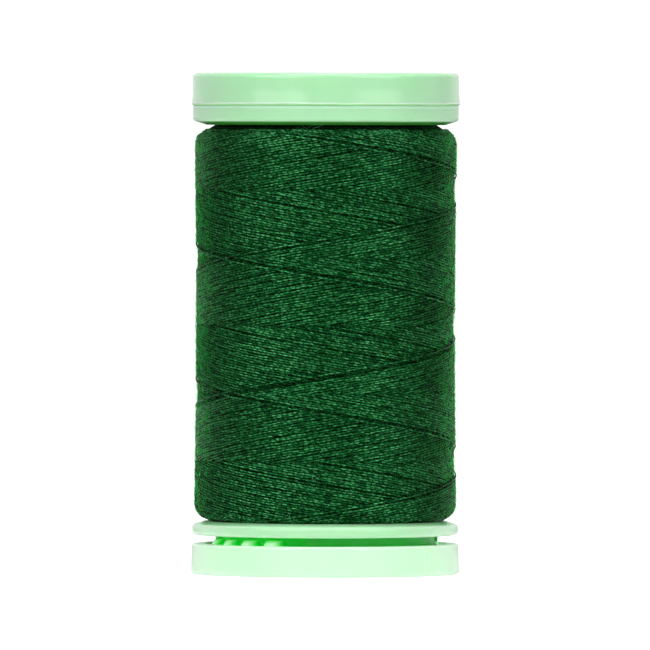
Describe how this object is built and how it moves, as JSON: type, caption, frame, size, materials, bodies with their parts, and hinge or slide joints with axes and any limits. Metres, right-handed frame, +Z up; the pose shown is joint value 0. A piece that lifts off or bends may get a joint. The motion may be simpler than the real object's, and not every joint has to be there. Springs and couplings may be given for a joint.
{
  "type": "spool of sewing thread",
  "caption": "Spool of cross-wound sewing thread on a flanged plastic barrel, with a top cap and a snap-open base whose gap holds the loose thread end.",
  "frame": {"origin": "middle of the base's underside, on the spool's axis", "axes": "+Z up along the spool's axis, -Y is the front"},
  "size_m": [0.0358, 0.0358, 0.0667],
  "materials": {
    "mint_plastic": "satin moulded, pale mint green",
    "thread": "matte spun thread, dark green",
    "label_paper": "matte blank label stock"
  },
  "bodies": {
    "spool": {"spool_body": "mint_plastic", "upper_flange": "mint_plastic", "top_cap": "mint_plastic", "thread_core": "thread", "thread_outer_layer": "thread", "top_label": "label_paper"},
    "base": {"snap_base": "mint_plastic", "base_label": "label_paper"}
  },
  "joints": [
    {"name": "base_snap", "type": "slide", "parent": "spool", "child": "base", "axis": [0, 0, 1], "range_m": [-0.0007, 0.00105]}
  ]
}
